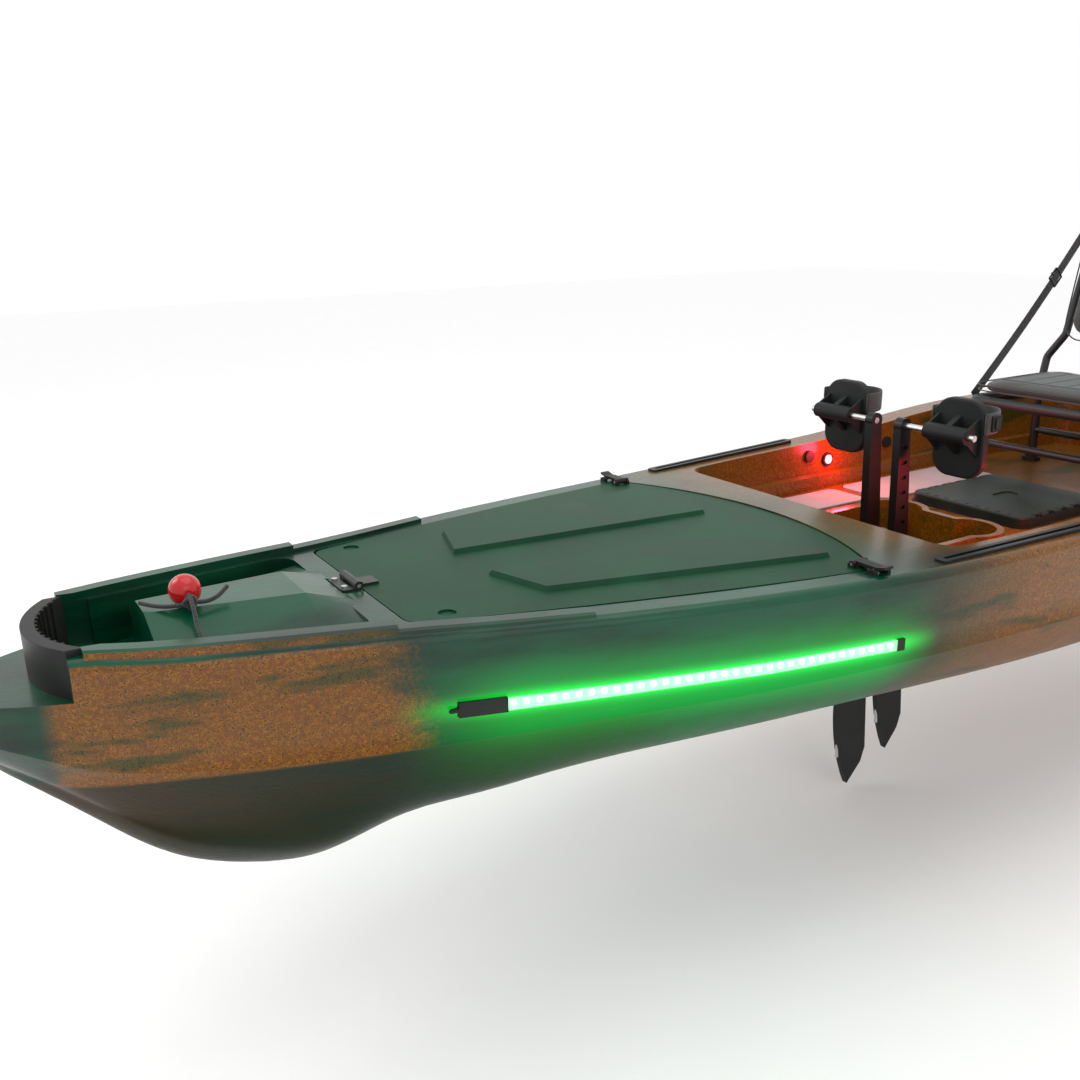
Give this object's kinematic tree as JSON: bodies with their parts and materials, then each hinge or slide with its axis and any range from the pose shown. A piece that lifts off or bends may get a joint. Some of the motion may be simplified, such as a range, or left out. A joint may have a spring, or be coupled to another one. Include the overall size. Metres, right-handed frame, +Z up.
{
  "type": "kayak",
  "caption": "Sit-on-top pedal-drive fishing kayak with hinged bow hatch, cockpit with fin drive and tackle hatch, folding seat, gear tracks, light strips and rudder.",
  "frame": {"origin": "on the flat of the keel, on the centre line at the middle of the hull's length", "axes": "+X to the bow, +Y to port, +Z up"},
  "size_m": [3.8391, 0.8902, 1.2103],
  "materials": {
    "hull": "rotomoulded, speckled",
    "plastic": "satin moulded",
    "lid": "fine grained",
    "tackle_lid": "satin",
    "steel": "brushed stainless",
    "bracket": "black coated",
    "track": "black anodised",
    "seal": "soft foam rubber",
    "fin": "moulded rubber",
    "arm": "black anodised",
    "pedal": "moulded",
    "webbing": "woven webbing",
    "seat_tube": "powder coated black",
    "seat_fabric": "woven mesh and polyester",
    "foam": "dotted foam sheet",
    "sleeve": "clear silicone",
    "tape": "white circuit tape",
    "chip": "light emitting",
    "lens": "red lit lens",
    "ball": "glossy",
    "cord": "braided elastic"
  },
  "bodies": {
    "hull": {"bow_handle": "plastic", "cockpit_light_bezels": "plastic", "cockpit_light_lenses": "lens", "crank_axle": "steel", "deck_fasteners": "steel", "drive_housing": "plastic", "fin_shaft": "steel", "floor_pads": "foam", "gear_tracks": "track", "hatch_hinge_brackets": "bracket", "hatch_seal": "seal", "hinge_pins": "steel", "hull": "hull", "latch_keepers": "plastic", "light_chips": "chip", "light_end_pods": "plastic", "light_sleeves": "sleeve", "light_tapes": "tape", "rudder_bracket": "plastic", "rudder_pin": "steel", "seat_back_bolts": "steel", "seat_cushion": "seat_fabric", "seat_feet": "plastic", "seat_frame": "seat_tube", "steering_base": "plastic", "stern_handle": "plastic", "tackle_bin": "plastic", "tackle_hinge": "plastic", "toggle_ball": "ball", "toggle_cord": "cord", "toggle_cord_anchor": "plastic", "toggle_tail_aft": "cord", "toggle_tail_fore": "cord", "wall_plugs": "plastic"},
    "bow_hatch": {"bow_lid": "lid", "hatch_hinge_leaves": "bracket", "latch_bases": "plastic", "latch_pins": "steel"},
    "latch_port": {"latch_port": "plastic"},
    "latch_starboard": {"latch_starboard": "plastic"},
    "tackle_hatch": {"tackle_lid": "tackle_lid"},
    "crank_port": {"crank_arm_port": "arm", "pedal_axle_port": "steel"},
    "crank_starboard": {"crank_arm_starboard": "arm", "pedal_axle_starboard": "steel"},
    "pedal_port": {"pedal_port": "pedal", "pedal_strap_port": "webbing"},
    "pedal_starboard": {"pedal_starboard": "pedal", "pedal_strap_starboard": "webbing"},
    "front_fin": {"fin_front": "fin", "fin_mast_front": "steel"},
    "rear_fin": {"fin_rear": "fin", "fin_mast_rear": "steel"},
    "seat_back": {"seat_back_frame": "seat_tube", "seat_back_cushion": "seat_fabric", "seat_straps": "webbing"},
    "rudder": {"rudder_head": "plastic", "rudder_blade_bolt": "steel"},
    "rudder_blade": {"rudder_blade": "fin"},
    "steering_handle": {"steering_handle": "plastic"}
  },
  "joints": [
    {"name": "bow_hatch_hinge", "type": "hinge", "parent": "hull", "child": "bow_hatch", "pos_m": [1.30735, 0, 0.32961], "axis": [0, 1, 0], "range_deg": [0, 100]},
    {"name": "latch_port_flip", "type": "hinge", "parent": "bow_hatch", "child": "latch_port", "pos_m": [0.5936, 0.31995, 0.30908], "axis": [1, 0, 0], "range_deg": [0, 110]},
    {"name": "latch_starboard_flip", "type": "hinge", "parent": "bow_hatch", "child": "latch_starboard", "pos_m": [0.5936, -0.31995, 0.30908], "axis": [-1, 0, 0], "range_deg": [0, 110]},
    {"name": "tackle_hatch_hinge", "type": "hinge", "parent": "hull", "child": "tackle_hatch", "pos_m": [-0.222, -0.15, 0.209], "axis": [1, 0, 0], "range_deg": [0, 95]},
    {"name": "crank_swing", "type": "hinge", "parent": "hull", "child": "crank_port", "pos_m": [0.165, 0, 0.187], "axis": [0, 1, 0], "range_deg": [-28, 28]},
    {"name": "crank_starboard_swing", "type": "hinge", "parent": "hull", "child": "crank_starboard", "pos_m": [0.165, 0, 0.187], "axis": [0, 1, 0], "range_deg": [-28, 28]},
    {"name": "pedal_port_tilt", "type": "hinge", "parent": "crank_port", "child": "pedal_port", "pos_m": [0.177, 0.14, 0.432], "axis": [0, 1, 0], "range_deg": [-18, 18]},
    {"name": "pedal_starboard_tilt", "type": "hinge", "parent": "crank_starboard", "child": "pedal_starboard", "pos_m": [0.177, -0.14, 0.432], "axis": [0, 1, 0], "range_deg": [-18, 18]},
    {"name": "front_fin_swing", "type": "hinge", "parent": "hull", "child": "front_fin", "pos_m": [0.225, 0, -0.03], "axis": [1, 0, 0], "range_deg": [-70, 70]},
    {"name": "rear_fin_swing", "type": "hinge", "parent": "hull", "child": "rear_fin", "pos_m": [0.111, 0, -0.03], "axis": [1, 0, 0], "range_deg": [-70, 70]},
    {"name": "seat_back_fold", "type": "hinge", "parent": "hull", "child": "seat_back", "pos_m": [-0.7, 0, 0.401], "axis": [0, 1, 0], "range_deg": [0, 45], "deforming": ["seat_straps"]},
    {"name": "rudder_steer", "type": "hinge", "parent": "hull", "child": "rudder", "pos_m": [-1.87075, 0, 0.22], "axis": [0, 0, 1], "range_deg": [-35, 35]},
    {"name": "steering_turn", "type": "hinge", "parent": "hull", "child": "steering_handle", "pos_m": [-0.56, 0.40748, 0.35562], "axis": [0, 0, 1], "range_deg": [-45, 45]},
    {"name": "rudder_lift", "type": "hinge", "parent": "rudder", "child": "rudder_blade", "pos_m": [-1.90875, 0, 0.219], "axis": [0, 1, 0], "range_deg": [0, 110]}
  ],
  "couplings": [
    {"joint": "crank_starboard_swing", "follows": "crank_swing", "ratio": -1},
    {"joint": "front_fin_swing", "follows": "crank_swing", "ratio": 2.5},
    {"joint": "rear_fin_swing", "follows": "crank_swing", "ratio": -2.5},
    {"joint": "steering_turn", "follows": "rudder_steer", "ratio": 1.25}
  ]
}
